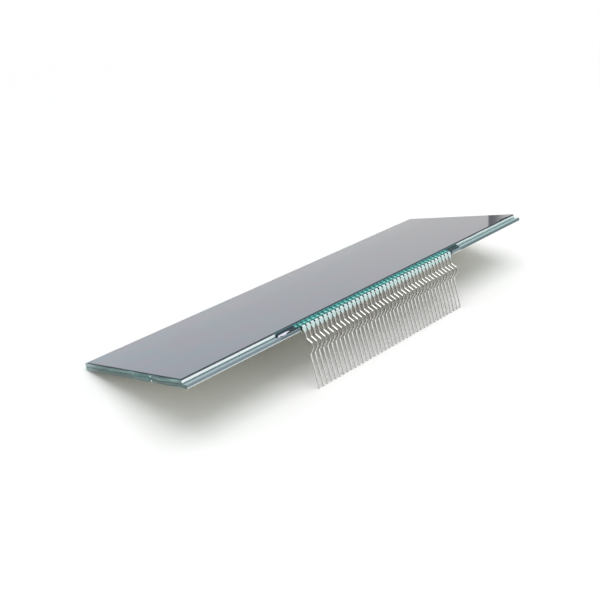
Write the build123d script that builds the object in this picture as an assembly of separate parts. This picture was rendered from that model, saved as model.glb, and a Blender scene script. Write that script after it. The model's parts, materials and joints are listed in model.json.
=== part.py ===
from build123d import *
import math
import os

# Segment LCD display: a glass cell with a film on each face and a row of clip-on solder
# pins along one edge. It lies as it does on a table, on its pin tips and its rear edge.
#
# Millimetres. Each piece is drawn flat first, in the panel's own axes: X along the pin
# row, Y from the pin edge to the rear edge, Z out of the viewing face. Zero is the front
# left corner of the front pane, level with the top of the front film. The last section
# tips the whole display back until it rests.

# Glass cell
glass_length = 157.0
glass_width = 52.0
pane_thickness = 1.1
ledge_depth = 2.0
end_step = 0.1
arris = 0.15
cell_gap = 0.05

# Films
front_film_thickness = 0.3
front_film_inset = 0.3
front_film_rear_inset = 1.25
dent_length = 7.0
dent_depth = 0.8
dent_from_end = 3.0
rear_film_thickness = 0.25
rear_film_inset = 1.0

# Printed seal between the panes, open at the fill port on the left end
seal_inset = 0.9
seal_width = 1.1
port_from_front = 19.5
port_width = 3.0
plug_length = 9.0
plug_height = 1.6
plug_depth = 0.5
dot_diameter = 0.6
dot_from_end = 6.0

# Clip pins, stamped and formed from thin strip
pin_count = 40
pin_pitch = 1.8
strip_thickness = 0.25
finger_width = 1.2
finger_reach = 1.1
finger_hump = 0.15
finger_flare = 0.36
contact_from_edge = 0.48
contact_length = 0.2
finger_bend_radius = 0.3
shoulder_width = 1.65
shoulder_drop = 0.25
shoulder_height = 0.35
lower_finger_width = 0.7
lower_finger_reach = 1.2
lower_finger_flare = 0.12
flare_length = 0.4
funnel_drop = 1.05
leg_width = 0.5

# Stress-relief bend and leg, down from the underside of the rear pane
stem_drop = 2.75
bump_reach = 1.9
bump_out_drop = 1.3
bump_flat = 1.7
bump_back_drop = 1.9
bend_radius = 0.55
leg_length = 11.0
leg_lean = 1.6

# Clear adhesive bead along the ledge
bead_from_edge = 0.35
bead_foot_height = 0.3
bead_sag = 0.1
bead_left_run = 9.5
bead_right_run = 6.0
bead_end_share = 0.55

# Levels and places that follow
front_pane_top = -front_film_thickness
front_pane_under = front_pane_top - pane_thickness
ledge_top = front_pane_under - cell_gap
rear_pane_under = ledge_top - pane_thickness
ledge_edge = -ledge_depth
rear_pane_left = -end_step
rear_pane_right = glass_length + end_step
first_pin = (glass_length - (pin_count - 1) * pin_pitch) / 2
last_pin = first_pin + (pin_count - 1) * pin_pitch


def block(low, high):
    """A box between two opposite corners."""
    size = [high[i] - low[i] for i in range(3)]
    box = Box(*size, align=(Align.MIN, Align.MIN, Align.MIN))
    return Pos(*low) * box


def side_plane(x):
    """The plane across the panel at this X, drawn in its Y and Z."""
    return Plane(origin=(x, 0, 0), x_dir=(0, 1, 0), z_dir=(1, 0, 0))


def pane(low, high):
    """One sheet of glass with every edge ground to the arris."""
    sheet = block(low, high)
    return chamfer(sheet.edges(), arris)


def make_panes():
    front = pane((0, 0, front_pane_under), (glass_length, glass_width, front_pane_top))
    rear_corner = (rear_pane_left, ledge_edge, rear_pane_under)
    rear = pane(rear_corner, (rear_pane_right, glass_width, ledge_top))
    return front, rear


def make_front_film():
    """The front polariser, with a shallow dent in its front edge near the right end."""
    inset = front_film_inset
    far_corner = (glass_length - inset, glass_width - front_film_rear_inset, 0)
    film = block((inset, inset, front_pane_top), far_corner)
    right = (glass_length - dent_from_end, inset)
    middle = (glass_length - dent_from_end - dent_length / 2, inset + dent_depth)
    left = (glass_length - dent_from_end - dent_length, inset)
    dent = make_face(ThreePointArc(right, middle, left) + Line(left, right))
    return film - extrude(dent, front_film_thickness, both=True)


def make_rear_film():
    inset = rear_film_inset
    near_corner = (rear_pane_left + inset, inset, rear_pane_under - rear_film_thickness)
    return block(near_corner, (rear_pane_right - inset, glass_width - inset, rear_pane_under))


def cell_layer(inset):
    """The space between the panes, this far in from the front pane's edges."""
    far_corner = (glass_length - inset, glass_width - inset, front_pane_under)
    return block((inset, inset, ledge_top), far_corner)


def make_port():
    """The opening through the left side of the seal."""
    half = port_width / 2
    near_corner = (0, port_from_front - half, ledge_top)
    far_corner = (seal_inset + seal_width, port_from_front + half, front_pane_under)
    return block(near_corner, far_corner)


def make_plug(panes):
    """Cured adhesive: a long rounded drop on the panes' left edges, and a tongue in the port."""
    radius = (plug_height**2 / 4 + plug_depth**2) / (2 * plug_depth)
    middle = Pos(radius - plug_depth, port_from_front, (ledge_top + front_pane_under) / 2)
    half = plug_length / 2 - radius
    drop = middle * Rot(90, 0, 0) * Cylinder(radius, half * 2)
    for end in (-half, half):
        drop += middle * Pos(0, end) * Sphere(radius)
    behind_edge = block((0, 0, -plug_height * 2), (glass_length, glass_width, plug_height))
    return drop - behind_edge - panes[0] - panes[1] + make_port()


def make_dot(x):
    """Conductive dot between the panes, outside the seal, that feeds the front electrode."""
    dot = Cylinder(dot_diameter / 2, cell_gap)
    return Pos(x, seal_inset / 2, ledge_top + cell_gap / 2) * dot


def finger_points():
    """The middle line of the top finger: its flared tip, its contact on the ledge, its corner."""
    seat = ledge_top + strip_thickness / 2
    contact_end = ledge_edge + contact_from_edge
    return [
        (ledge_edge + finger_reach, seat + finger_flare),
        (contact_end + contact_length, seat),
        (contact_end, seat),
        (ledge_edge - strip_thickness / 2, seat + finger_hump),
    ]


def leg_points():
    """The middle line of the stress-relief bend and the leg, down from the web."""
    web = ledge_edge - strip_thickness / 2
    stem_end = rear_pane_under - stem_drop
    bump_top = stem_end - bump_out_drop
    bump_end = bump_top - bump_flat
    leg_top = bump_end - bump_back_drop
    lean = math.radians(leg_lean)
    return [
        (web, stem_end),
        (web - bump_reach, bump_top),
        (web - bump_reach, bump_end),
        (web, leg_top),
        (web - leg_length * math.sin(lean), leg_top - leg_length * math.cos(lean)),
    ]


def bend(before, corner, after, radius):
    """A bend drawn as two short flats, which keeps forty pins light."""
    corner = Vector(*corner)
    back = (Vector(*before) - corner).normalized()
    onward = (Vector(*after) - corner).normalized()
    half = math.radians(back.get_angle(onward)) / 2
    run = radius / math.tan(half)
    middle = corner + (back + onward).normalized() * (radius / math.sin(half) - radius)
    return [corner + back * run, middle, corner + onward * run]


def strip_line():
    """The whole middle line of one pin, from the tip of its finger to the tip of its leg."""
    finger = finger_points()
    leg = leg_points()
    line = finger[:3] + bend(finger[2], finger[3], leg[0], finger_bend_radius)
    corners = [finger[3]] + leg
    for i in range(1, len(corners) - 1):
        line += bend(corners[i - 1], corners[i], corners[i + 1], bend_radius)
    return line + leg[-1:]


def pin_outline():
    """The pin's front outline: finger, shoulders, funnel and leg."""
    above = ledge_top + strip_thickness * 2 + finger_flare + finger_hump
    below = leg_points()[-1][1] - strip_thickness
    shoulder_top = ledge_top - shoulder_drop
    half = [
        (finger_width / 2, above),
        (finger_width / 2, shoulder_top),
        (shoulder_width / 2, shoulder_top),
        (shoulder_width / 2, shoulder_top - shoulder_height),
        (leg_width / 2, rear_pane_under - funnel_drop),
        (leg_width / 2, below),
    ]
    other_half = [(-x, z) for x, z in reversed(half)]
    return Plane.XZ * make_face(Polyline(*half, *other_half, close=True))


def swept(points, width):
    """A strip of this width along a middle line drawn in side view."""
    path = side_plane(0) * Polyline(*points)
    start = Plane(origin=path @ 0, x_dir=(1, 0, 0), z_dir=path % 0)
    section = start * Rectangle(width, strip_thickness)
    return sweep(section, path=path, transition=Transition.RIGHT)


def make_pin():
    """One formed pin at X zero: its clip grips the rear pane, front and back."""
    strip = swept(strip_line(), shoulder_width)
    strip = strip & extrude(pin_outline(), ledge_depth + bump_reach * 2, both=True)
    seat = rear_pane_under - strip_thickness / 2
    tip = ledge_edge + lower_finger_reach
    lower_finger = [
        (ledge_edge - strip_thickness / 2, seat),
        (tip - flare_length, seat),
        (tip, seat - lower_finger_flare),
    ]
    return strip + swept(lower_finger, lower_finger_width)


def bead_section(x, share):
    """Section of the adhesive bead, from the front pane's edge out over the ledge."""
    height = (front_pane_top - arris - ledge_top) * share
    reach = (ledge_depth - bead_from_edge) * share
    foot = bead_foot_height * share
    sag = bead_sag * share
    top = (0, ledge_top + height)
    toe = (-reach, ledge_top + foot)
    middle = (-reach / 2 - sag, ledge_top + (height + foot) / 2 - sag)
    outline = ThreePointArc(top, middle, toe)
    outline += Polyline(toe, (-reach, ledge_top), (0, ledge_top), top)
    return side_plane(x) * make_face(outline)


def bead_end(x, share, turn):
    """A rounded end of the bead: its section turned about the front pane's edge."""
    return revolve(bead_section(x, share), Axis((x, 0, 0), (0, 0, 1)), turn)


def make_bead(pins):
    """The whole bead, with a lower run-out past each end of the row, moulded round the clips."""
    left_end = first_pin - bead_left_run
    left_full = first_pin - pin_pitch / 2
    right_full = last_pin + pin_pitch / 2
    right_end = last_pin + bead_right_run
    bead = extrude(bead_section(left_full, 1), right_full - left_full)
    left_run = [bead_section(left_end, bead_end_share), bead_section(left_full, 1)]
    bead += loft(left_run, ruled=True)
    right_run = [bead_section(right_full, 1), bead_section(right_end, bead_end_share)]
    bead += loft(right_run, ruled=True)
    bead += bead_end(left_end, bead_end_share, -90)
    bead += bead_end(right_end, bead_end_share, 90)
    for pin in pins:
        bead -= pin
    return bead


def rest_angle():
    """How far the panel tips back when its pin tips and its rear edge touch the table."""
    lean = math.radians(leg_lean)
    tip = leg_points()[-1]
    tip_y = tip[0] + strip_thickness / 2 * math.cos(lean)
    tip_z = tip[1] - strip_thickness / 2 * math.sin(lean)
    return math.degrees(math.atan2(rear_pane_under - tip_z, glass_width - arris - tip_y))


def make_display():
    front_pane, rear_pane = make_panes()
    port = make_port()
    crystal = cell_layer(seal_inset + seal_width)
    one_pin = make_pin()
    pins = [Pos(first_pin + i * pin_pitch) * one_pin for i in range(pin_count)]
    pieces = {
        "front_glass": front_pane,
        "rear_glass": rear_pane,
        "front_polariser": make_front_film(),
        "rear_polariser": make_rear_film(),
        "perimeter_seal": cell_layer(seal_inset) - crystal - port,
        "liquid_crystal": crystal,
        "fill_port_seal": make_plug((front_pane, rear_pane)),
        "transfer_dot_left": make_dot(dot_from_end),
        "transfer_dot_right": make_dot(glass_length - dot_from_end),
        "clip_adhesive": make_bead(pins),
    }
    for i, pin in enumerate(pins):
        pieces[f"pin_{i + 1:02d}"] = pin
    return pieces


# Tip the display back onto the table, with zero under the middle of its bounding box
tipped = {name: Rot(-rest_angle()) * piece for name, piece in make_display().items()}
boxes = [piece.bounding_box() for piece in tipped.values()]
low = [min(axis) for axis in zip(*(tuple(box.min) for box in boxes))]
high = [max(axis) for axis in zip(*(tuple(box.max) for box in boxes))]
to_table = Pos(-(low[0] + high[0]) / 2, -(low[1] + high[1]) / 2, -low[2])

os.makedirs("parts", exist_ok=True)
for name, piece in tipped.items():
    export_step(to_table * piece, f"parts/{name}.step")
print("rest angle", round(rest_angle(), 3), "from", low, "to", high)
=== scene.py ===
import json
import math

import bpy
from mathutils import Euler, Matrix, Vector


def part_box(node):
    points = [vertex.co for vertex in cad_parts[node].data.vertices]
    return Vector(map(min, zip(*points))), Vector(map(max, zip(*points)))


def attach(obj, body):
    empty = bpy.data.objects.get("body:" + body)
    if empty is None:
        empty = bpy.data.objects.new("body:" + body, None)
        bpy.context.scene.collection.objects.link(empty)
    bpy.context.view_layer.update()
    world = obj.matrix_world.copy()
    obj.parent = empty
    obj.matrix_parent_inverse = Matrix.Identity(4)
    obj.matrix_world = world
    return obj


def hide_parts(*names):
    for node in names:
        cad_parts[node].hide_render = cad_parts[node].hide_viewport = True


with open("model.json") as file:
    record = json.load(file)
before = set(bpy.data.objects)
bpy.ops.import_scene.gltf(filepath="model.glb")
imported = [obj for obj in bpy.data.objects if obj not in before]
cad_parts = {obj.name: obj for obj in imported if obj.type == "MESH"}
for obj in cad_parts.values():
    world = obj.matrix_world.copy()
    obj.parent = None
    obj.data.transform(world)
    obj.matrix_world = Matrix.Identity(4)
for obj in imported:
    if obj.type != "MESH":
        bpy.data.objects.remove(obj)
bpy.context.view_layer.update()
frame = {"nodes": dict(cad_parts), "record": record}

mm = 0.001


# Colours are written as sRGB hex and turned to linear here
def colour(hexCode, alpha=1.0):
    parts = [int(hexCode[i:i + 2], 16) / 255 for i in (0, 2, 4)]
    linear = [c / 12.92 if c <= 0.04045 else ((c + 0.055) / 1.055) ** 2.4 for c in parts]
    return (*linear, alpha)


# Adds one node: its settings, its ramp's stops, then its sockets by name, or by number as in_6.
# A socket takes a value, a hex colour, another node's output, or a node for its first output.
def addNode(tree, kind, settings=None, stops=None, **sockets):
    node = tree.nodes.new(kind)
    for key, value in (settings or {}).items():
        setattr(node, key, value)
    if stops:
        ramp = node.color_ramp
        ramp.elements.remove(ramp.elements[1])
        ramp.elements[0].position = stops[0][0]
        ramp.elements[0].color = colour(stops[0][1])
        for place, shade in stops[1:]:
            ramp.elements.new(place).color = colour(shade)
    for key, value in sockets.items():
        name = key.replace("_", " ")
        socket = node.inputs[int(name[3:])] if name.startswith("in ") else node.inputs[name]
        if isinstance(value, bpy.types.Node):
            value = [output for output in value.outputs if output.enabled][0]
        if isinstance(value, bpy.types.NodeSocket):
            tree.links.new(value, socket)
        else:
            socket.default_value = colour(value) if isinstance(value, str) else value
    return node


def newMaterial(name):
    material = bpy.data.materials.new(name)
    material.use_nodes = True
    material.node_tree.nodes.clear()
    return material, material.node_tree


def finishMaterial(tree, shader):
    addNode(tree, "ShaderNodeOutputMaterial", Surface=shader)


# Settings many nodes share
plus = {"operation": "ADD"}
minus = {"operation": "SUBTRACT"}
times = {"operation": "MULTIPLY"}
over = {"operation": "DIVIDE"}
largest = {"operation": "MAXIMUM"}
below = {"operation": "LESS_THAN"}
above = {"operation": "GREATER_THAN"}
absolute = {"operation": "ABSOLUTE"}
length = {"operation": "LENGTH"}
tones = {"data_type": "RGBA"}
soft = {"interpolation_type": "SMOOTHSTEP"}


# The panel's own axes, read from the face mount: along the pins, front to rear, out of the face
faceMount = [m for m in frame["record"]["mounts"] if m["name"] == "viewing_face"][0]
paneLow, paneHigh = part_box("front_glass")
alongPins = Vector((1, 0, 0))
outOfFace = Vector(faceMount["axis"]).normalized()
toRear = outOfFace.cross(alongPins)
tilt = math.atan2(outOfFace.y, outOfFace.z)
faceMiddle = Vector(faceMount["pos_m"])
panelLength = paneHigh[0] - paneLow[0]
paneThick = 1.1 * mm
arris = 0.15 * mm  # ground off every edge
# the pane's box holds its width and, less the ground edges, its thickness, both at the tilt
tiltedThick = (paneThick - 2 * arris) * math.sin(tilt)
panelWidth = (paneHigh[1] - paneLow[1] - tiltedThick) / math.cos(tilt)
corner = faceMiddle - alongPins * panelLength / 2 - toRear * panelWidth / 2


# A place in the part's frame from millimetres along the pins, to the rear and out of the face
def onPanel(x, y, z):
    return corner + (alongPins * x + toRear * y + outOfFace * z) * mm


# Where a node's middle is, in millimetres along the pins
def findMiddle(node):
    low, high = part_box(node)
    return ((low[0] + high[0]) / 2 - paneLow[0]) / mm


print("panel", round(panelLength / mm, 2), "x", round(panelWidth / mm, 2), "mm")

# Camera, placed from the panel's front left corner
cameraSetup = {
    "place": (-113.72, -192.09, 69.84),  # mm, in the panel's axes
    "azimuth": -44.852,
    "elevation": 28.533,
    "roll": -0.071,
    "lens": 52.757,
    "sensor": 36.0,
    "clip": (0.01, 50.0),  # metres
}


def makeCamera():
    data = bpy.data.cameras.new("camera")
    data.lens = cameraSetup["lens"]
    data.sensor_width = cameraSetup["sensor"]
    data.clip_start, data.clip_end = cameraSetup["clip"]
    camera = bpy.data.objects.new("camera", data)
    bpy.context.scene.collection.objects.link(camera)
    camera.location = onPanel(*cameraSetup["place"])
    up = math.radians(90 - cameraSetup["elevation"])
    aim = Euler((up, 0, math.radians(cameraSetup["azimuth"]))).to_matrix()
    roll = Matrix.Rotation(math.radians(cameraSetup["roll"]), 3, "Z")
    camera.rotation_euler = (aim @ roll).to_euler()
    bpy.context.scene.camera = camera


makeCamera()
print("camera placed")

# Table and studio
tableSetup = {
    "size": 8.0,  # metres
    "paper": "f1f2f3",
    "seenPaper": "ffffff",  # the paper as the eye, gloss and glass see it
    "seenLift": 1.05,  # and a little over white, so that it stays white under the lamps
    "farPaper": (0.25, 0.45),  # metres: past these the paper looks as bright as the room
    "farStrength": 1.0,
}
studioSetup = {
    "fill": "fbfdfc",  # the room's soft light
    "fillStrength": 0.6,
    "white": "ffffff",
    "frontGrey": 0.25,  # the dim side of the room, where the photographer stands
    "frontStarts": (0.15, 0.55),  # how far toward the front a reflection points
    "frontTop": (0.12, 0.42),  # and how high
    "brightTop": 1.6,  # the bright upper part of the room
    "brightStarts": (0.45, 0.65),
    # a dark stand behind the right end, in degrees: sharp on its left side, soft on its right
    "standAzimuth": (51.45, 51.53, 51.75, 52.9),
    "standLean": 0.472,  # the stand leans, so that the face mirrors it upright
    "standDepth": 0.94,
    # lamps: places and sizes in metres, power in watts
    "overhead": {"place": (-0.02, -0.08, 1.1), "size": (1.15, 0.9), "power": 6.0,
                 "inGloss": True},
    "frontFill": {"place": (0.35, -1.15, 0.35), "size": (1.0, 0.5), "power": 3.7,
                  "inGloss": False},
}


def makePaper():
    # matt white background paper: flat white to the eye, with a soft shadow
    material, tree = newMaterial("backgroundPaper")
    paths = addNode(tree, "ShaderNodeLightPath")
    seen = addNode(tree, "ShaderNodeMath", largest, in_0=paths.outputs["Is Camera Ray"],
                   in_1=paths.outputs["Is Glossy Ray"])
    seen = addNode(tree, "ShaderNodeMath", largest, in_0=seen,
                   in_1=paths.outputs["Is Transmission Ray"])
    lifted = [c * tableSetup["seenLift"] for c in colour(tableSetup["seenPaper"])[:3]] + [1.0]
    tone = addNode(tree, "ShaderNodeMix", tones, in_0=seen, in_6=tableSetup["paper"], in_7=lifted)
    paper = addNode(tree, "ShaderNodeBsdfDiffuse", Color=tone)
    # the far paper, seen or mirrored, would otherwise darken toward its horizon
    place = addNode(tree, "ShaderNodeTexCoord")
    away = addNode(tree, "ShaderNodeVectorMath", length, in_0=place.outputs["Object"])
    far = addNode(tree, "ShaderNodeMapRange", soft, Value=away.outputs["Value"],
                  From_Min=tableSetup["farPaper"][0], From_Max=tableSetup["farPaper"][1])
    farSeen = addNode(tree, "ShaderNodeMath", times, in_0=far, in_1=seen)
    glow = addNode(tree, "ShaderNodeEmission", Color=tableSetup["seenPaper"],
                   Strength=tableSetup["farStrength"])
    paper = addNode(tree, "ShaderNodeMixShader", Fac=farSeen, in_1=paper, in_2=glow)
    # from below the paper is not there, so that the part's underside can be seen
    side = addNode(tree, "ShaderNodeNewGeometry")
    nothing = addNode(tree, "ShaderNodeBsdfTransparent")
    finishMaterial(tree, addNode(tree, "ShaderNodeMixShader", Fac=side.outputs["Backfacing"],
                                 in_1=paper, in_2=nothing))
    material.cycles.emission_sampling = "NONE"
    return material


def makeTable():
    half = tableSetup["size"] / 2
    mesh = bpy.data.meshes.new("table")
    corners = [(-half, -half, 0), (half, -half, 0), (half, half, 0), (-half, half, 0)]
    mesh.from_pydata(corners, [], [(0, 1, 2, 3)])
    table = bpy.data.objects.new("table", mesh)
    bpy.context.scene.collection.objects.link(table)
    mesh.materials.append(makePaper())


def makeRoom():
    world = bpy.data.worlds.new("studio")
    world.use_nodes = True
    bpy.context.scene.world = world
    tree = world.node_tree
    tree.nodes.clear()
    setup = studioSetup
    place = addNode(tree, "ShaderNodeTexCoord")
    way = addNode(tree, "ShaderNodeSeparateXYZ", Vector=place.outputs["Generated"]).outputs
    # how much of a reflection falls on the dim front of the room, low down
    toFront = addNode(tree, "ShaderNodeMath", times, in_0=way["Y"], in_1=-1.0)
    front = addNode(tree, "ShaderNodeMapRange", soft, Value=toFront,
                    From_Min=setup["frontStarts"][0], From_Max=setup["frontStarts"][1])
    low = addNode(tree, "ShaderNodeMapRange", soft, Value=way["Z"],
                  From_Min=setup["frontTop"][1], From_Max=setup["frontTop"][0])
    dim = addNode(tree, "ShaderNodeMath", times, in_0=front, in_1=low)
    room = addNode(tree, "ShaderNodeMapRange", Value=dim, To_Min=1.0, To_Max=setup["frontGrey"])
    high = addNode(tree, "ShaderNodeMapRange", soft, Value=way["Z"],
                   From_Min=setup["brightStarts"][0], From_Max=setup["brightStarts"][1],
                   To_Min=1.0, To_Max=setup["brightTop"])
    room = addNode(tree, "ShaderNodeMath", times, in_0=room, in_1=high)
    # the dark stand behind the panel's right end
    angles = [math.radians(a) for a in setup["standAzimuth"]]
    azimuth = addNode(tree, "ShaderNodeMath", {"operation": "ARCTAN2"}, in_0=way["X"],
                      in_1=way["Y"])
    lean = addNode(tree, "ShaderNodeMath", times, in_0=way["Z"], in_1=setup["standLean"])
    azimuth = addNode(tree, "ShaderNodeMath", plus, in_0=azimuth, in_1=lean)
    rise = addNode(tree, "ShaderNodeMapRange", Value=azimuth, From_Min=angles[0],
                   From_Max=angles[1])
    fall = addNode(tree, "ShaderNodeMapRange", soft, Value=azimuth, From_Min=angles[3],
                   From_Max=angles[2])
    stand = addNode(tree, "ShaderNodeMath", times, in_0=rise, in_1=fall)
    stand = addNode(tree, "ShaderNodeMapRange", Value=stand, To_Min=1.0,
                    To_Max=1 - setup["standDepth"])
    shade = addNode(tree, "ShaderNodeMath", times, in_0=room, in_1=stand)
    # gloss sees the room, the eye and glass see white, and the rest is the fill light
    paths = addNode(tree, "ShaderNodeLightPath")
    seen = addNode(tree, "ShaderNodeMath", largest, in_0=paths.outputs["Is Camera Ray"],
                   in_1=paths.outputs["Is Transmission Ray"])
    fill = addNode(tree, "ShaderNodeBackground", Color=setup["fill"],
                   Strength=setup["fillStrength"])
    gloss = addNode(tree, "ShaderNodeBackground", Color=setup["white"], Strength=shade)
    white = addNode(tree, "ShaderNodeBackground", Color=setup["white"], Strength=1.0)
    mixed = addNode(tree, "ShaderNodeMixShader", Fac=paths.outputs["Is Glossy Ray"], in_1=fill,
                    in_2=gloss)
    mixed = addNode(tree, "ShaderNodeMixShader", Fac=seen, in_1=mixed, in_2=white)
    addNode(tree, "ShaderNodeOutputWorld", Surface=mixed)


def makeLamp(name):
    setup = studioSetup[name]
    data = bpy.data.lights.new(name, "AREA")
    data.shape = "RECTANGLE"
    data.size = setup["size"][0]
    data.size_y = setup["size"][1]
    data.energy = setup["power"]
    lamp = bpy.data.objects.new(name, data)
    bpy.context.scene.collection.objects.link(lamp)
    lamp.location = setup["place"]
    lamp.rotation_euler = (-Vector(setup["place"])).to_track_quat("-Z", "Y").to_euler()
    lamp.visible_glossy = setup["inGloss"]


makeTable()
makeRoom()
makeLamp("overhead")
makeLamp("frontFill")
print("studio ready")


# Millimetres in the panel's axes at each point of a surface, as a vector and as three numbers
def panelPlace(tree):
    place = addNode(tree, "ShaderNodeTexCoord")
    panel = addNode(tree, "ShaderNodeMapping", {"vector_type": "TEXTURE"},
                    Vector=place.outputs["Object"], Location=tuple(corner),
                    Rotation=(-tilt, 0, 0), Scale=(mm, mm, mm))
    return panel, addNode(tree, "ShaderNodeSeparateXYZ", Vector=panel).outputs


# How many noise cells a millimetre holds, from a grain's size along the panel's three axes
def cells(size):
    return [1 / s for s in size]


def dress(node, material):
    piece = frame["nodes"][node]
    piece.data.materials.clear()
    piece.data.materials.append(material)


glintFade = (1.2, 0.8)  # where a glint starts and is full, as shares of its half size


# Lays small pale glints over the tone of a pane's left end
def addGlints(tree, panel, tone, setup):
    for y, z, wide, high in setup["glints"]:
        away = addNode(tree, "ShaderNodeVectorMath", minus, in_0=panel, in_1=(0, y, z))
        away = addNode(tree, "ShaderNodeVectorMath", times, in_0=away,
                       in_1=cells((panelLength / mm / 2, wide, high)))
        away = addNode(tree, "ShaderNodeVectorMath", length, in_0=away)
        glint = addNode(tree, "ShaderNodeMapRange", Value=away.outputs["Value"],
                        From_Min=glintFade[0], From_Max=glintFade[1])
        tone = addNode(tree, "ShaderNodeMix", tones, in_0=glint, in_6=tone, in_7=setup["glintTone"])
    return tone


# The tone of a pane's end faces: streaks, a pale rear corner and the glints
def makeEndTone(tree, panel, axes, setup):
    streaks = addNode(tree, "ShaderNodeMapping", Vector=panel, Scale=cells(setup["endStreak"]))
    streaks = addNode(tree, "ShaderNodeTexNoise", Vector=streaks, Scale=1.0, Detail=3.0)
    tone = addNode(tree, "ShaderNodeValToRGB", stops=setup["endTones"], Fac=streaks)
    pale = addNode(tree, "ShaderNodeMapRange", Value=axes["Y"], From_Min=setup["paleFrom"][0],
                   From_Max=setup["paleFrom"][1])
    tone = addNode(tree, "ShaderNodeMix", tones, in_0=pale, in_6=tone, in_7=setup["paleCorner"])
    return addGlints(tree, panel, tone, setup)


# Which points lie on a pane's cut edges: its front one, both ends, and all four together.
# The pane reaches from one millimetre value to the other along the pins and to the rear.
def findCuts(tree, axes, reach, depth, deep):
    front = addNode(tree, "ShaderNodeMath", below, in_0=axes["Y"], in_1=depth[0] + deep)
    rear = addNode(tree, "ShaderNodeMath", above, in_0=axes["Y"], in_1=depth[1] - deep)
    left = addNode(tree, "ShaderNodeMath", below, in_0=axes["X"], in_1=reach[0] + deep)
    right = addNode(tree, "ShaderNodeMath", above, in_0=axes["X"], in_1=reach[1] - deep)
    ends = addNode(tree, "ShaderNodeMath", largest, in_0=left, in_1=right)
    edges = addNode(tree, "ShaderNodeMath", largest, in_0=front, in_1=rear)
    cut = addNode(tree, "ShaderNodeMath", largest, in_0=edges, in_1=ends)
    return front, ends, cut


# Front polariser: dyed plastic sheet with a hard coat, rolled and knife cut. It gives the
# grey face its low gloss, its faint blue and mauve clouds, and a dark cut edge.
filmSetup = {
    "cool": "6b7c8b",
    "warm": "767688",
    "cloudSize": (16, 9, 9),  # mm
    "cloudEdges": (0.38, 0.62),  # noise values where the first tone ends and the second is full
    "farReflectionTone": "777478",  # painted reflection: the far end's tone, tinted by the more of the room it mirrors
    "farReflectionShare": 0.8,
    "cutEdge": "39454c",
    "roughness": 0.025,
    "cutRoughness": 0.5,
    "edgeReach": 0.012,  # mm below the face where the cut edge is all dark
}


def makePolariser():
    setup = filmSetup
    material, tree = newMaterial("coatedPolariser")
    panel, axes = panelPlace(tree)
    clouds = addNode(tree, "ShaderNodeMapping", Vector=panel, Scale=cells(setup["cloudSize"]))
    clouds = addNode(tree, "ShaderNodeTexNoise", Vector=clouds, Scale=1.0, Detail=2.0)
    clouds = addNode(tree, "ShaderNodeMapRange", Value=clouds, From_Min=setup["cloudEdges"][0],
                     From_Max=setup["cloudEdges"][1])
    face = addNode(tree, "ShaderNodeMix", tones, in_0=clouds, in_6=setup["cool"],
                   in_7=setup["warm"])
    # painted reflection, growing toward the far end
    far = addNode(tree, "ShaderNodeMapRange", Value=axes["X"], From_Min=0.0,
                  From_Max=panelLength / mm, To_Max=setup["farReflectionShare"])
    face = addNode(tree, "ShaderNodeMix", tones, in_0=far, in_6=face, in_7=setup["farReflectionTone"])
    side = addNode(tree, "ShaderNodeMapRange", Value=axes["Z"], From_Min=-setup["edgeReach"] / 2,
                   From_Max=-setup["edgeReach"])
    tone = addNode(tree, "ShaderNodeMix", tones, in_0=side, in_6=face, in_7=setup["cutEdge"])
    roughness = addNode(tree, "ShaderNodeMapRange", Value=side, To_Min=setup["roughness"],
                        To_Max=setup["cutRoughness"])
    finishMaterial(tree, addNode(tree, "ShaderNodeBsdfPrincipled", Base_Color=tone,
                                 Roughness=roughness))
    return material


dress("front_polariser", makePolariser())
print("face film done")

# Where the dark adhesive lies along the pins, in mm, seen on the edges behind it
adhesiveSpan = (34.2, 120.7)
spanFade = 0.4

glassIor = 1.52

# Front pane: soda lime float glass, scribed and snapped. Clear through its faces, with pale
# frosted long edges that look almost white, and glassy green ends with conchoidal streaks.
frontPaneSetup = {
    "clear": "e4f0ec",
    # the front edge from its lower arris to its top, darker at its foot with painted shade where it
    # meets the ledge, and dark along its top with painted shade under the film
    "edgeRamp": [(0.0, "98aeb2"), (0.14, "a0b6ba"), (0.24, "c6dadd"), (0.34, "f8ffff"),
                 (0.8, "fcffff"), (0.87, "76868d"), (0.92, "46555b"), (1.0, "46555b")],
    # the same past the adhesive, with a teal line along it and the same painted shade at its foot and
    # top
    "rightRamp": [(0.0, "8ba2a4"), (0.2, "a9c0c2"), (0.34, "e6f4f6"), (0.44, "648683"),
                  (0.49, "648683"), (0.58, "f8ffff"), (0.8, "eaf8fb"), (0.87, "6a7a80"),
                  (0.92, "46555b"), (1.0, "46555b")],
    "wander": 0.22,  # how far the teal line wanders, as a share of the pane's thickness
    "wanderSize": (7, 7, 7),  # mm
    "underAdhesive": "3f6f77",
    "streak": (9, 3, 0.3),  # mm
    "streakFrom": (0.5, 0.75),  # noise values where a streak starts and is full
    "streakShare": 0.35,
    "streakTone": "b5cfd4",
    "endTones": [(0.3, "304d4e"), (0.45, "4a6e6f"), (0.56, "5f8685"), (0.74, "96c0bd")],
    "endStreak": (2, 7, 0.45),  # mm
    "paleCorner": "a9bcc0",  # the rear end of the end faces
    "paleFrom": (44.0, 51.0),  # mm to the rear, where it starts and is full
    # glints on the left end, in mm: to the rear, out of the face, half width and half height
    "glints": [(15.2, -0.78, 0.55, 0.2), (22.9, -0.85, 1.3, 0.12)],
    "glintTone": "e3f6f1",
    "cutDepth": 0.16,  # mm in from its sides that look cut, which takes in the ground edges
    "roughness": 0.03,
    "cutRoughness": 0.34,
}
# mm out of the face, between which the ramps of the front edge run
underFrontPane = -1.4
overFrontPane = -0.3


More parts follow.
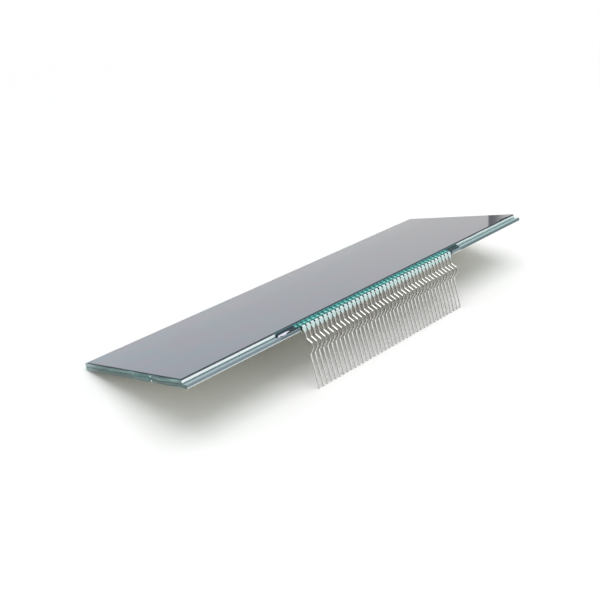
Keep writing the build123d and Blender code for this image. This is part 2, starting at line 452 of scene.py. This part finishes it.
def makeFrontPane():
    setup = frontPaneSetup
    material, tree = newMaterial("frontFloatGlass")
    panel, axes = panelPlace(tree)
    front, ends, cut = findCuts(tree, axes, (0.0, panelLength / mm), (0.0, panelWidth / mm),
                                setup["cutDepth"])
    # the front edge's tone by height, with painted shade at its foot and under the film
    height = addNode(tree, "ShaderNodeMapRange", Value=axes["Z"], From_Min=underFrontPane,
                     From_Max=overFrontPane)
    edge = addNode(tree, "ShaderNodeValToRGB", stops=setup["edgeRamp"], Fac=height)
    streaks = addNode(tree, "ShaderNodeMapping", Vector=panel, Scale=cells(setup["streak"]))
    streaks = addNode(tree, "ShaderNodeTexNoise", Vector=streaks, Scale=1.0, Detail=3.0)
    streaks = addNode(tree, "ShaderNodeMapRange", Value=streaks, From_Min=setup["streakFrom"][0],
                      From_Max=setup["streakFrom"][1], To_Max=setup["streakShare"])
    edge = addNode(tree, "ShaderNodeMix", {"data_type": "RGBA", "blend_type": "MULTIPLY"},
                   in_0=streaks, in_6=edge, in_7=setup["streakTone"])
    wander = addNode(tree, "ShaderNodeMapping", Vector=panel, Scale=cells(setup["wanderSize"]))
    wander = addNode(tree, "ShaderNodeTexNoise", Vector=wander, Scale=1.0, Detail=2.0)
    wander = addNode(tree, "ShaderNodeMapRange", Value=wander, To_Min=-setup["wander"],
                     To_Max=setup["wander"])
    wavy = addNode(tree, "ShaderNodeMath", plus, in_0=height, in_1=wander)
    duller = addNode(tree, "ShaderNodeValToRGB", stops=setup["rightRamp"], Fac=wavy)
    pastAdhesive = addNode(tree, "ShaderNodeMapRange", Value=axes["X"],
                           From_Min=adhesiveSpan[1] - spanFade, From_Max=adhesiveSpan[1])
    pastAdhesive = addNode(tree, "ShaderNodeMath", times, in_0=pastAdhesive, in_1=front)
    inAdhesive = addNode(tree, "ShaderNodeMapRange", Value=axes["X"],
                         From_Min=adhesiveSpan[0] - spanFade, From_Max=adhesiveSpan[0])
    inAdhesive = addNode(tree, "ShaderNodeMath", times, in_0=inAdhesive, in_1=front)
    edge = addNode(tree, "ShaderNodeMix", tones, in_0=inAdhesive, in_6=edge,
                   in_7=setup["underAdhesive"])
    edge = addNode(tree, "ShaderNodeMix", tones, in_0=pastAdhesive, in_6=edge, in_7=duller)
    ending = makeEndTone(tree, panel, axes, setup)
    tone = addNode(tree, "ShaderNodeMix", tones, in_0=ends, in_6=edge, in_7=ending)
    tone = addNode(tree, "ShaderNodeMix", tones, in_0=cut, in_6=setup["clear"], in_7=tone)
    roughness = addNode(tree, "ShaderNodeMapRange", Value=cut, To_Min=setup["roughness"],
                        To_Max=setup["cutRoughness"])
    through = addNode(tree, "ShaderNodeMath", minus, in_0=1.0, in_1=cut)
    finishMaterial(tree, addNode(tree, "ShaderNodeBsdfPrincipled", Base_Color=tone,
                                 Roughness=roughness, IOR=glassIor, Transmission_Weight=through))
    return material


# Rear pane: the same glass, longer at the front by the ledge that carries the contacts. The
# ledge takes a painted reflection, pale over painted shade at its root, and the front edge is
# mottled grey blue with a painted highlight on its lower arris. Adhesive and painted shade
# darken both between the pins.
rearPaneSetup = {
    "clear": "dcebe6",
    # the ledge from its outer edge to its root, a pale band of painted reflection over painted shade
    # at the root, and the same past the adhesive
    "paintedLedgeRamp": [(0.0, "7b8c92"), (0.18, "8b9fa5"), (0.36, "9bb0b7"), (0.6, "a2b7be"),
                  (0.76, "8b9fa5"), (1.0, "778b91")],
    "paintedRightLedgeRamp": [(0.0, "8da3a7"), (0.2, "a0b9bc"), (0.4, "b0cacd"), (0.65, "b4cfd1"),
                       (0.8, "8fa9ab"), (1.0, "758e90")],
    # the front edge from its lower arris to its top, with a painted highlight on the arris
    "frontRamp": [(0.0, "f4ffff"), (0.15, "f4ffff"), (0.25, "7e8e95"), (0.55, "75848c"),
                  (0.85, "707f87"), (1.0, "75858c")],
    "arrisHighlightTop": 0.25,  # the share of that height up to which the painted highlight on the arris stays bright
    "leftFront": "5d6d75",  # the front edge under the left run-out
    "leftSpan": (34.2, 42.4),  # mm along the pins
    "rightFront": "5c7173",  # the front edge past the adhesive
    "mottle": "66777f",
    "mottleSize": (3.5, 1.5, 0.6),  # mm
    "mottleFrom": (0.48, 0.7),  # noise values where the mottle starts and is full
    "mottleShare": 0.7,
    "endTones": [(0.3, "243f3d"), (0.5, "3d5f5c"), (0.72, "6b918d")],
    "endStreak": (2, 6, 0.4),  # mm
    "paleCorner": "8fa5a8",
    "paleFrom": (44.0, 51.0),
    "glints": [(14.9, -1.95, 0.38, 0.25)],  # as on the front pane
    "glintTone": "e3f6f1",
    "wetTone": "0f2626",  # ledge and front edge where adhesive covers them, near black with painted shade between the pins
    "wetSpan": (42.3, 115.3),  # mm along the pins
    "cutDepth": 0.16,
    "step": 0.1,  # how far the rear pane stands out past the front one at each end
    "roughness": 0.03,
    "cutRoughness": 0.3,
}
# mm out of the face, and how many mm the ledge stands out to the front
underRearPane = -2.55
overRearPane = -1.45
ledgeDepth = 2.0


def makeRearPane():
    setup = rearPaneSetup
    material, tree = newMaterial("rearFloatGlass")
    panel, axes = panelPlace(tree)
    deep = setup["cutDepth"]
    front, ends, cut = findCuts(tree, axes, (-setup["step"], panelLength / mm + setup["step"]),
                                (-ledgeDepth, panelWidth / mm), deep)
    # the ledge's top is opaque, to carry its painted reflection and shade
    ahead = addNode(tree, "ShaderNodeMath", below, in_0=axes["Y"], in_1=0.0)
    onTop = addNode(tree, "ShaderNodeMath", above, in_0=axes["Z"], in_1=overRearPane - deep / 2)
    onLedge = addNode(tree, "ShaderNodeMath", times, in_0=ahead, in_1=onTop)
    solid = addNode(tree, "ShaderNodeMath", largest, in_0=cut, in_1=onLedge)

    height = addNode(tree, "ShaderNodeMapRange", Value=axes["Z"], From_Min=underRearPane,
                     From_Max=overRearPane)
    edge = addNode(tree, "ShaderNodeValToRGB", stops=setup["frontRamp"], Fac=height)
    mottle = addNode(tree, "ShaderNodeMapping", Vector=panel, Scale=cells(setup["mottleSize"]))
    mottle = addNode(tree, "ShaderNodeTexNoise", Vector=mottle, Scale=1.0, Detail=3.0)
    mottle = addNode(tree, "ShaderNodeMapRange", Value=mottle, From_Min=setup["mottleFrom"][0],
                     From_Max=setup["mottleFrom"][1], To_Max=setup["mottleShare"])
    # the painted highlight on the arris stays clear of the mottle
    overArris = addNode(tree, "ShaderNodeMath", above, in_0=height, in_1=setup["arrisHighlightTop"])
    mottle = addNode(tree, "ShaderNodeMath", times, in_0=mottle, in_1=overArris)
    edge = addNode(tree, "ShaderNodeMix", tones, in_0=mottle, in_6=edge, in_7=setup["mottle"])
    pastAdhesive = addNode(tree, "ShaderNodeMapRange", Value=axes["X"],
                           From_Min=adhesiveSpan[1] - spanFade, From_Max=adhesiveSpan[1])
    rightFront = addNode(tree, "ShaderNodeMath", times, in_0=pastAdhesive, in_1=front)
    edge = addNode(tree, "ShaderNodeMix", tones, in_0=rightFront, in_6=edge,
                   in_7=setup["rightFront"])
    pastStart = addNode(tree, "ShaderNodeMath", above, in_0=axes["X"], in_1=setup["leftSpan"][0])
    beforeEnd = addNode(tree, "ShaderNodeMath", below, in_0=axes["X"], in_1=setup["leftSpan"][1])
    underRun = addNode(tree, "ShaderNodeMath", times, in_0=pastStart, in_1=beforeEnd)
    underRun = addNode(tree, "ShaderNodeMath", times, in_0=underRun, in_1=front)
    underRun = addNode(tree, "ShaderNodeMath", times, in_0=underRun, in_1=overArris)
    edge = addNode(tree, "ShaderNodeMix", tones, in_0=underRun, in_6=edge, in_7=setup["leftFront"])
    # painted reflection and shade across the ledge
    depth = addNode(tree, "ShaderNodeMapRange", Value=axes["Y"], From_Min=-ledgeDepth, From_Max=0.0)
    paintedLedge = addNode(tree, "ShaderNodeValToRGB", stops=setup["paintedLedgeRamp"], Fac=depth)
    paintedRightLedge = addNode(tree, "ShaderNodeValToRGB", stops=setup["paintedRightLedgeRamp"], Fac=depth)
    paintedLedge = addNode(tree, "ShaderNodeMix", tones, in_0=pastAdhesive, in_6=paintedLedge, in_7=paintedRightLedge)
    tone = addNode(tree, "ShaderNodeMix", tones, in_0=onLedge, in_6=edge, in_7=paintedLedge)
    # adhesive between the pins, near black with painted shade
    wetFrom, wetTo = setup["wetSpan"]
    wetLeft = addNode(tree, "ShaderNodeMapRange", Value=axes["X"], From_Min=wetFrom - spanFade,
                      From_Max=wetFrom)
    wetRight = addNode(tree, "ShaderNodeMapRange", Value=axes["X"], From_Min=wetTo + spanFade,
                       From_Max=wetTo)
    wet = addNode(tree, "ShaderNodeMath", times, in_0=wetLeft, in_1=wetRight)
    wet = addNode(tree, "ShaderNodeMath", times, in_0=wet, in_1=ahead)
    tone = addNode(tree, "ShaderNodeMix", tones, in_0=wet, in_6=tone, in_7=setup["wetTone"])
    ending = makeEndTone(tree, panel, axes, setup)
    tone = addNode(tree, "ShaderNodeMix", tones, in_0=ends, in_6=tone, in_7=ending)
    tone = addNode(tree, "ShaderNodeMix", tones, in_0=solid, in_6=setup["clear"], in_7=tone)
    roughness = addNode(tree, "ShaderNodeMapRange", Value=cut, To_Min=setup["roughness"],
                        To_Max=setup["cutRoughness"])
    through = addNode(tree, "ShaderNodeMath", minus, in_0=1.0, in_1=solid)
    finishMaterial(tree, addNode(tree, "ShaderNodeBsdfPrincipled", Base_Color=tone,
                                 Roughness=roughness, IOR=glassIor, Transmission_Weight=through))
    return material


dress("front_glass", makeFrontPane())
dress("rear_glass", makeRearPane())
print("panes done")


# Clip adhesive: teal dyed acrylic, cured by lamp where it was dispensed. Wet looking and
# deep, bright cyan where it is thin over the contacts, and nearly black in its run-outs.
beadSetup = {
    "ends": (33.9, 121.2),  # mm along the pins
    "step": 0.25,  # mm between sections
    # the section over the pins, in mm to the rear and up from the ledge
    "section": [(0.0, 1.0), (-0.12, 0.88), (-0.32, 0.72), (-0.6, 0.55), (-0.9, 0.42),
                (-1.2, 0.36), (-1.45, 0.34), (-1.62, 0.28), (-1.73, 0.15), (-1.77, 0.0)],
    "leftReach": (0.86, 8.6),  # share of the reach at the left end, and mm over which it grows
    "rightReach": (0.78, 5.6),  # the same at the right end
    "height": (0.94, 5.0),  # and for the height at both ends
    "rounding": 0.9,  # mm over which each end is rounded off
    "endShare": 0.04,  # what is left of the section at the very end
    "waver": 0.05,
    "waverLength": 3.1,  # mm
    # a second, uneven waver: its share of the first, radians in the first's length, and start
    "unevenWaver": (0.6, 4.7, 1.3),
    "waverShares": (0.5, 0.25),  # how much of the waver the reach and the height take
    "clearance": 0.004,  # mm off the panes
    "deep": "0c4248",
    "body": "147a76",
    "cloudSize": (1.4, 0.5, 0.5),  # mm
    "cloudEdges": (0.38, 0.62),  # as on the film
    "onPin": (0.3, 0.22),  # how far from a pin's middle its contact shows, as a share of the pitch
    # rows of contacts seen through it: mm to the rear where a row starts and ends, and its tone
    "rows": [(-0.05, -0.26, "58c8c2"), (-0.48, -0.9, "a8f4ec")],
    "rowFade": 0.06,  # mm
    "rowWaver": 0.12,  # how far the rows stray in mm, and the glint in shares of its size
    "leftRunTone": "1a303b",
    "leftRun": (41.8, 40.8),  # mm along the pins
    "rightRunTone": "12363b",
    "rightRun": (114.3, 115.2),
    "glintTone": "e6e6f2",
    "glintAt": (36.2, -1.15),  # mm along the pins, and to the rear
    "glintSize": (2.4, 0.42),  # mm, half its length and half its width
    "glintEdge": (1.1, 0.9),  # where the glint starts and is full, as shares of that size
    "rimTone": "0a0d12",
    "rimEdge": (1.5, 1.2),  # the same for its dark rim
    "roughness": 0.25,
    "gloss": 0.22,
    "ior": 1.4,
}


def makeBeadTone():
    setup = beadSetup
    material, tree = newMaterial("tealAcrylicAdhesive")
    panel, axes = panelPlace(tree)
    clouds = addNode(tree, "ShaderNodeMapping", Vector=panel, Scale=cells(setup["cloudSize"]))
    clouds = addNode(tree, "ShaderNodeTexNoise", Vector=clouds, Scale=1.0, Detail=3.0)
    cloudy = addNode(tree, "ShaderNodeMapRange", Value=clouds, From_Min=setup["cloudEdges"][0],
                     From_Max=setup["cloudEdges"][1])
    tone = addNode(tree, "ShaderNodeMix", tones, in_0=cloudy, in_6=setup["deep"],
                   in_7=setup["body"])
    # contacts seen through it
    firstPin = findMiddle("pin_01")
    pinPitch = findMiddle("pin_02") - firstPin
    along = addNode(tree, "ShaderNodeMath", minus, in_0=axes["X"], in_1=firstPin)
    along = addNode(tree, "ShaderNodeMath", over, in_0=along, in_1=pinPitch)
    nearest = addNode(tree, "ShaderNodeMath", {"operation": "ROUND"}, in_0=along)
    along = addNode(tree, "ShaderNodeMath", minus, in_0=along, in_1=nearest)
    along = addNode(tree, "ShaderNodeMath", absolute, in_0=along)
    onPin = addNode(tree, "ShaderNodeMapRange", Value=along, From_Min=setup["onPin"][0],
                    From_Max=setup["onPin"][1])
    waver = addNode(tree, "ShaderNodeMapRange", Value=clouds, To_Min=-setup["rowWaver"],
                    To_Max=setup["rowWaver"])
    across = addNode(tree, "ShaderNodeMath", plus, in_0=axes["Y"], in_1=waver)
    fade = setup["rowFade"]
    for start, stop, rowTone in setup["rows"]:
        started = addNode(tree, "ShaderNodeMapRange", Value=across, From_Min=start,
                          From_Max=start - fade)
        unended = addNode(tree, "ShaderNodeMapRange", Value=across, From_Min=stop,
                          From_Max=stop + fade)
        row = addNode(tree, "ShaderNodeMath", times, in_0=started, in_1=unended)
        row = addNode(tree, "ShaderNodeMath", times, in_0=row, in_1=onPin)
        tone = addNode(tree, "ShaderNodeMix", tones, in_0=row, in_6=tone, in_7=rowTone)
    leftRun = addNode(tree, "ShaderNodeMapRange", Value=axes["X"], From_Min=setup["leftRun"][0],
                      From_Max=setup["leftRun"][1])
    tone = addNode(tree, "ShaderNodeMix", tones, in_0=leftRun, in_6=tone, in_7=setup["leftRunTone"])
    rightRun = addNode(tree, "ShaderNodeMapRange", Value=axes["X"], From_Min=setup["rightRun"][0],
                       From_Max=setup["rightRun"][1])
    tone = addNode(tree, "ShaderNodeMix", tones, in_0=rightRun, in_6=tone,
                   in_7=setup["rightRunTone"])
    # the pale lens of light lying in the left run-out, with its dark rim
    lens = addNode(tree, "ShaderNodeVectorMath", minus, in_0=panel, in_1=(*setup["glintAt"], 0))
    lens = addNode(tree, "ShaderNodeVectorMath", times, in_0=lens,
                   in_1=(*cells(setup["glintSize"]), 0))
    lens = addNode(tree, "ShaderNodeVectorMath", length, in_0=lens)
    lens = addNode(tree, "ShaderNodeMath", plus, in_0=lens.outputs["Value"], in_1=waver)
    rim = addNode(tree, "ShaderNodeMapRange", Value=lens, From_Min=setup["rimEdge"][0],
                  From_Max=setup["rimEdge"][1])
    tone = addNode(tree, "ShaderNodeMix", tones, in_0=rim, in_6=tone, in_7=setup["rimTone"])
    lit = addNode(tree, "ShaderNodeMapRange", Value=lens, From_Min=setup["glintEdge"][0],
                  From_Max=setup["glintEdge"][1])
    tone = addNode(tree, "ShaderNodeMix", tones, in_0=lit, in_6=tone, in_7=setup["glintTone"])
    finishMaterial(tree, addNode(tree, "ShaderNodeBsdfPrincipled", Base_Color=tone,
                                 Roughness=setup["roughness"], IOR=setup["ior"],
                                 Specular_IOR_Level=setup["gloss"]))
    return material


# How far the bead stands out and up at a place along the pins, as shares of its full section
def beadShares(x):
    setup = beadSetup
    fromLeft = x - setup["ends"][0]
    fromRight = setup["ends"][1] - x
    reach = 1.0
    for away, (share, run) in ((fromLeft, setup["leftReach"]), (fromRight, setup["rightReach"])):
        reach *= share + (1 - share) * min(1.0, away / run)
    near = max(0.0, min(fromLeft, fromRight))
    height = setup["height"][0] + (1 - setup["height"][0]) * min(1.0, near / setup["height"][1])
    turn = max(0.0, 1 - near / setup["rounding"])
    rounded = max(setup["endShare"], math.sqrt(1 - turn * turn))
    waver = 1 + setup["waver"] * math.sin(x / setup["waverLength"] * 2 * math.pi)
    uneven, turns, begin = setup["unevenWaver"]
    waver *= 1 + setup["waver"] * uneven * math.sin(x / setup["waverLength"] * turns + begin)
    inReach, inHeight = setup["waverShares"]
    reach *= rounded * (1 - inReach + waver * inReach)
    return reach, height * rounded ** 0.5 * (1 - inHeight + waver * inHeight)


def makeBead():
    setup = beadSetup
    left, right = setup["ends"]
    count = round((right - left) / setup["step"])
    gap = setup["clearance"]
    points = []
    for i in range(count + 1):
        x = left + (right - left) * i / count
        reach, height = beadShares(x)
        for y, z in setup["section"] + [(0.0, 0.0)]:
            tall = min(z * height, setup["section"][0][1])
            points.append(onPanel(x, y * reach - gap, overRearPane + gap + tall))
    ring = len(setup["section"]) + 1
    faces = []
    for i in range(count):
        near, far = i * ring, (i + 1) * ring
        for j in range(ring):
            after = (j + 1) % ring
            faces.append((near + j, near + after, far + after, far + j))
    faces += [tuple(range(ring))[::-1], tuple(count * ring + j for j in range(ring))]
    mesh = bpy.data.meshes.new("adhesiveBead")
    mesh.from_pydata(points, [], faces)
    mesh.update()
    for face in mesh.polygons:
        face.use_smooth = True
    bead = bpy.data.objects.new("adhesiveBead", mesh)
    bpy.context.scene.collection.objects.link(bead)
    mesh.materials.append(makeBeadTone())
    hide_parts("clip_adhesive")
    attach(bead, "root")


makeBead()
print("adhesive done")


# Clip pins: phosphor bronze strip, stamped, formed and tin plated. Satin silver on the legs,
# with a painted highlight on the slopes, the leg tops and the clip tops, painted shade on the
# stems and on all sides, and white where wet.
pinSetup = {
    "tin": "cececb",
    "tinShade": "b8b8b5",
    # painted highlight on the upward slopes
    "slopeHighlightTone": "ebebe9",
    # painted shade on the stems, darker again on the lower stems
    "shadedStemTone": "c8c4c0",
    "shadedLowStemTone": "aaa6a3",
    "lowStem": (-5.6, -6.6),  # mm out of the face
    "shadedStemSide": "b2aca8",  # the sides, darker with painted shade, on the stems and on the legs
    "shadedLegSide": "aca8a5",
    "stems": (-3.0, -3.4, -7.7, -8.3),  # mm out of the face, where the stems start and end
    "dipTone": "d6d6d3",
    "legTopHighlightTone": "f4f4f2",  # a painted highlight over the top of a leg
    "highlitLegTop": (-13.4, -10.6),  # mm out of the face
    "dipFrom": (-8.5, -8.8),  # mm out of the face, where the solder dip starts
    "dipMetallic": 0.45,
    "grainSize": (0.2, 0.2, 2.5),  # mm, drawn along the strip, coarser than real to show at all
    "grainEdges": (0.45, 0.7),  # noise values where the shade starts and is full
    "roughness": (0.13, 0.22),
    "wetTone": "c2d7d5",
    # painted highlight on the tops of the clips
    "crownHighlightTone": "d3e6e6",
    "tipTone": "58b8b0",
    "tipFrom": (-1.65, -1.45),  # mm to the rear, where the clips run under the adhesive
    # painted shade: the sides of the wet clips, near black between the pins
    "shadedWetSide": "12302f",
    "wetEnds": (-3.5, -2.9),  # mm out of the face
    "crown": (-1.52, -1.42),  # mm out of the face, where the painted highlight on the top of a clip starts and is full
    "ledgeMargin": 0.01,  # mm inside the ledge's edge from which a pin counts as a clip
    "wetRoughness": 0.2,
    "sideways": 0.7,  # share of a face's normal along the pins that makes it a side
    "upward": 0.7,  # and the height of a normal from which a face is a slope, which takes the painted highlight
}


def makeTin():
    setup = pinSetup
    material, tree = newMaterial("tinPlatedStrip")
    panel, axes = panelPlace(tree)
    drawn = addNode(tree, "ShaderNodeMapping", Vector=panel, Scale=cells(setup["grainSize"]))
    drawn = addNode(tree, "ShaderNodeTexNoise", Vector=drawn, Scale=1.0, Detail=2.0)
    shaded = addNode(tree, "ShaderNodeMapRange", Value=drawn, From_Min=setup["grainEdges"][0],
                     From_Max=setup["grainEdges"][1])
    tin = addNode(tree, "ShaderNodeMix", tones, in_0=shaded, in_6=setup["tin"],
                  in_7=setup["tinShade"])
    surface = addNode(tree, "ShaderNodeNewGeometry")
    facing = addNode(tree, "ShaderNodeSeparateXYZ", Vector=surface.outputs["Normal"]).outputs
    sideways = addNode(tree, "ShaderNodeMath", absolute, in_0=facing["X"])
    sideways = addNode(tree, "ShaderNodeMath", above, in_0=sideways, in_1=setup["sideways"])
    level = addNode(tree, "ShaderNodeMath", below, in_0=facing["Z"], in_1=setup["upward"])
    # painted shade on the stems, between the clips and the legs, except their upward slopes
    stems = setup["stems"]
    started = addNode(tree, "ShaderNodeMapRange", Value=axes["Z"], From_Min=stems[0],
                      From_Max=stems[1])
    unended = addNode(tree, "ShaderNodeMapRange", Value=axes["Z"], From_Min=stems[3],
                      From_Max=stems[2])
    between = addNode(tree, "ShaderNodeMath", times, in_0=started, in_1=unended)
    stem = addNode(tree, "ShaderNodeMath", times, in_0=between, in_1=level)
    # painted shade on the sides of stems and legs
    side = addNode(tree, "ShaderNodeMix", tones, in_0=between, in_6=setup["shadedLegSide"],
                   in_7=setup["shadedStemSide"])
    # painted highlight on the upward slopes
    tin = addNode(tree, "ShaderNodeMix", tones, in_0=level, in_6=setup["slopeHighlightTone"], in_7=tin)
    # darker painted shade on the lower stems
    low = addNode(tree, "ShaderNodeMapRange", Value=axes["Z"], From_Min=setup["lowStem"][0],
                  From_Max=setup["lowStem"][1])
    shadedStemTone = addNode(tree, "ShaderNodeMix", tones, in_0=low, in_6=setup["shadedStemTone"],
                       in_7=setup["shadedLowStemTone"])
    tin = addNode(tree, "ShaderNodeMix", tones, in_0=stem, in_6=tin, in_7=shadedStemTone)
    tin = addNode(tree, "ShaderNodeMix", tones, in_0=sideways, in_6=tin, in_7=side)
    # the clips, wet with adhesive, with a painted highlight on their tops and painted shade on their
    # sides
    outer = addNode(tree, "ShaderNodeMath", below, in_0=axes["Y"],
                    in_1=setup["ledgeMargin"] - ledgeDepth)
    upper = addNode(tree, "ShaderNodeMath", above, in_0=axes["Z"], in_1=overRearPane)
    onClip = addNode(tree, "ShaderNodeMath", largest, in_0=outer, in_1=upper)
    wet = addNode(tree, "ShaderNodeMapRange", Value=axes["Z"], From_Min=setup["wetEnds"][0],
                  From_Max=setup["wetEnds"][1])
    wet = addNode(tree, "ShaderNodeMath", times, in_0=wet, in_1=onClip)
    crown = addNode(tree, "ShaderNodeMapRange", Value=axes["Z"], From_Min=setup["crown"][0],
                    From_Max=setup["crown"][1])
    inside = addNode(tree, "ShaderNodeMapRange", Value=axes["Y"], From_Min=setup["tipFrom"][0],
                     From_Max=setup["tipFrom"][1])
    # painted highlight on the clip tops
    clip = addNode(tree, "ShaderNodeMix", tones, in_0=crown, in_6=setup["wetTone"],
                   in_7=setup["crownHighlightTone"])
    clip = addNode(tree, "ShaderNodeMix", tones, in_0=inside, in_6=clip, in_7=setup["tipTone"])
    # painted shade on the sides of the wet clips
    clip = addNode(tree, "ShaderNodeMix", tones, in_0=sideways, in_6=clip, in_7=setup["shadedWetSide"])
    tone = addNode(tree, "ShaderNodeMix", tones, in_0=wet, in_6=tin, in_7=clip)
    # the solder dipped legs, duller than the bare tin, with a painted highlight over their tops
    dip = addNode(tree, "ShaderNodeMapRange", Value=axes["Z"], From_Min=setup["dipFrom"][0],
                  From_Max=setup["dipFrom"][1])
    # painted highlight over the top of each leg
    highlitLegTop = addNode(tree, "ShaderNodeMapRange", Value=axes["Z"], From_Min=setup["highlitLegTop"][0],
                     From_Max=setup["highlitLegTop"][1])
    legTone = addNode(tree, "ShaderNodeMix", tones, in_0=highlitLegTop, in_6=setup["dipTone"],
                      in_7=setup["legTopHighlightTone"])
    # painted shade on the legs' sides
    legTone = addNode(tree, "ShaderNodeMix", tones, in_0=sideways, in_6=legTone,
                      in_7=setup["shadedLegSide"])
    tone = addNode(tree, "ShaderNodeMix", tones, in_0=dip, in_6=tone, in_7=legTone)
    dull = addNode(tree, "ShaderNodeMapRange", Value=dip, To_Max=1 - setup["dipMetallic"])
    dull = addNode(tree, "ShaderNodeMath", largest, in_0=dull, in_1=wet)
    metal = addNode(tree, "ShaderNodeMath", minus, in_0=1.0, in_1=dull)
    rough = addNode(tree, "ShaderNodeMapRange", Value=drawn, To_Min=setup["roughness"][0],
                    To_Max=setup["roughness"][1])
    rough = addNode(tree, "ShaderNodeMapRange", Value=wet, To_Min=rough, To_Max=setup["wetRoughness"])
    finishMaterial(tree, addNode(tree, "ShaderNodeBsdfPrincipled", Base_Color=tone,
                                 Roughness=rough, Metallic=metal))
    return material


tin = makeTin()
pins = [node for node in frame["nodes"] if node.startswith("pin_")]
for node in pins:
    dress(node, tin)
print(len(pins), "pins done")


# Noise values where a mix of two tones leaves its first and reaches its second
mixEdges = (0.35, 0.65)

# Fill port seal: acrylic drop, cured. It takes the green of the glass behind it.
plugSetup = {
    "tones": ("3f6263", "5d8787"),
    "cloudSize": (1, 3, 0.5),  # mm
    "roughness": 0.2,
    "ior": 1.4,
}


def makePlug():
    setup = plugSetup
    material, tree = newMaterial("acrylicDrop")
    panel = panelPlace(tree)[0]
    clouds = addNode(tree, "ShaderNodeMapping", Vector=panel, Scale=cells(setup["cloudSize"]))
    clouds = addNode(tree, "ShaderNodeTexNoise", Vector=clouds, Scale=1.0, Detail=3.0)
    clouds = addNode(tree, "ShaderNodeMapRange", Value=clouds, From_Min=mixEdges[0],
                     From_Max=mixEdges[1])
    tone = addNode(tree, "ShaderNodeMix", tones, in_0=clouds, in_6=setup["tones"][0],
                   in_7=setup["tones"][1])
    finishMaterial(tree, addNode(tree, "ShaderNodeBsdfPrincipled", Base_Color=tone,
                                 Roughness=setup["roughness"], IOR=setup["ior"]))
    return material


dress("fill_port_seal", makePlug())


# Plain coatings and fillings: each a mix of two tones. Their grains, flakes and spacers are
# too fine for a render, so the sizes, in mm, are coarser than real.
silverEpoxy = {"tones": ("8c8c8a", "b9b9b6"), "size": (0.08, 0.08, 0.08), "roughness": 0.4,
               "metallic": 0.6}
coatingSetups = {
    # reflector film: silvered matt plastic, with a fine rolled grain, faintly olive
    "rear_polariser": {"name": "silverReflectorFilm", "tones": ("afb09a", "9e9f8b"),
                       "size": (3, 0.25, 0.25), "roughness": 0.38, "metallic": 0.4},
    # seal: printed epoxy, off white, with glass spacers in it
    "perimeter_seal": {"name": "printedEpoxy", "tones": ("c2c4bc", "a8aba2"),
                       "size": (0.3, 0.3, 0.3), "roughness": 0.55, "metallic": 0.0},
    # liquid crystal: a thin milky green grey liquid
    "liquid_crystal": {"name": "nematicLiquid", "tones": ("6f7f7a", "64736f"),
                       "size": (8, 8, 8), "roughness": 0.2, "metallic": 0.0},
    # transfer dots: epoxy with silver flake
    "transfer_dot_left": {"name": "silverEpoxyLeft", **silverEpoxy},
    "transfer_dot_right": {"name": "silverEpoxyRight", **silverEpoxy},
}
coatingSpread = 0.06  # how far the roughness strays


def makeCoating(setup):
    material, tree = newMaterial(setup["name"])
    panel = panelPlace(tree)[0]
    grains = addNode(tree, "ShaderNodeMapping", Vector=panel, Scale=cells(setup["size"]))
    grains = addNode(tree, "ShaderNodeTexNoise", Vector=grains, Scale=1.0, Detail=2.0)
    share = addNode(tree, "ShaderNodeMapRange", Value=grains, From_Min=mixEdges[0],
                    From_Max=mixEdges[1])
    tone = addNode(tree, "ShaderNodeMix", tones, in_0=share, in_6=setup["tones"][0],
                   in_7=setup["tones"][1])
    rough = addNode(tree, "ShaderNodeMapRange", Value=grains,
                    To_Min=setup["roughness"] - coatingSpread,
                    To_Max=setup["roughness"] + coatingSpread)
    finishMaterial(tree, addNode(tree, "ShaderNodeBsdfPrincipled", Base_Color=tone, Roughness=rough,
                                 Metallic=setup["metallic"]))
    return material


for node, setup in coatingSetups.items():
    dress(node, makeCoating(setup))
print("films and fillings done")

bpy.context.scene.view_settings.view_transform = "Standard"
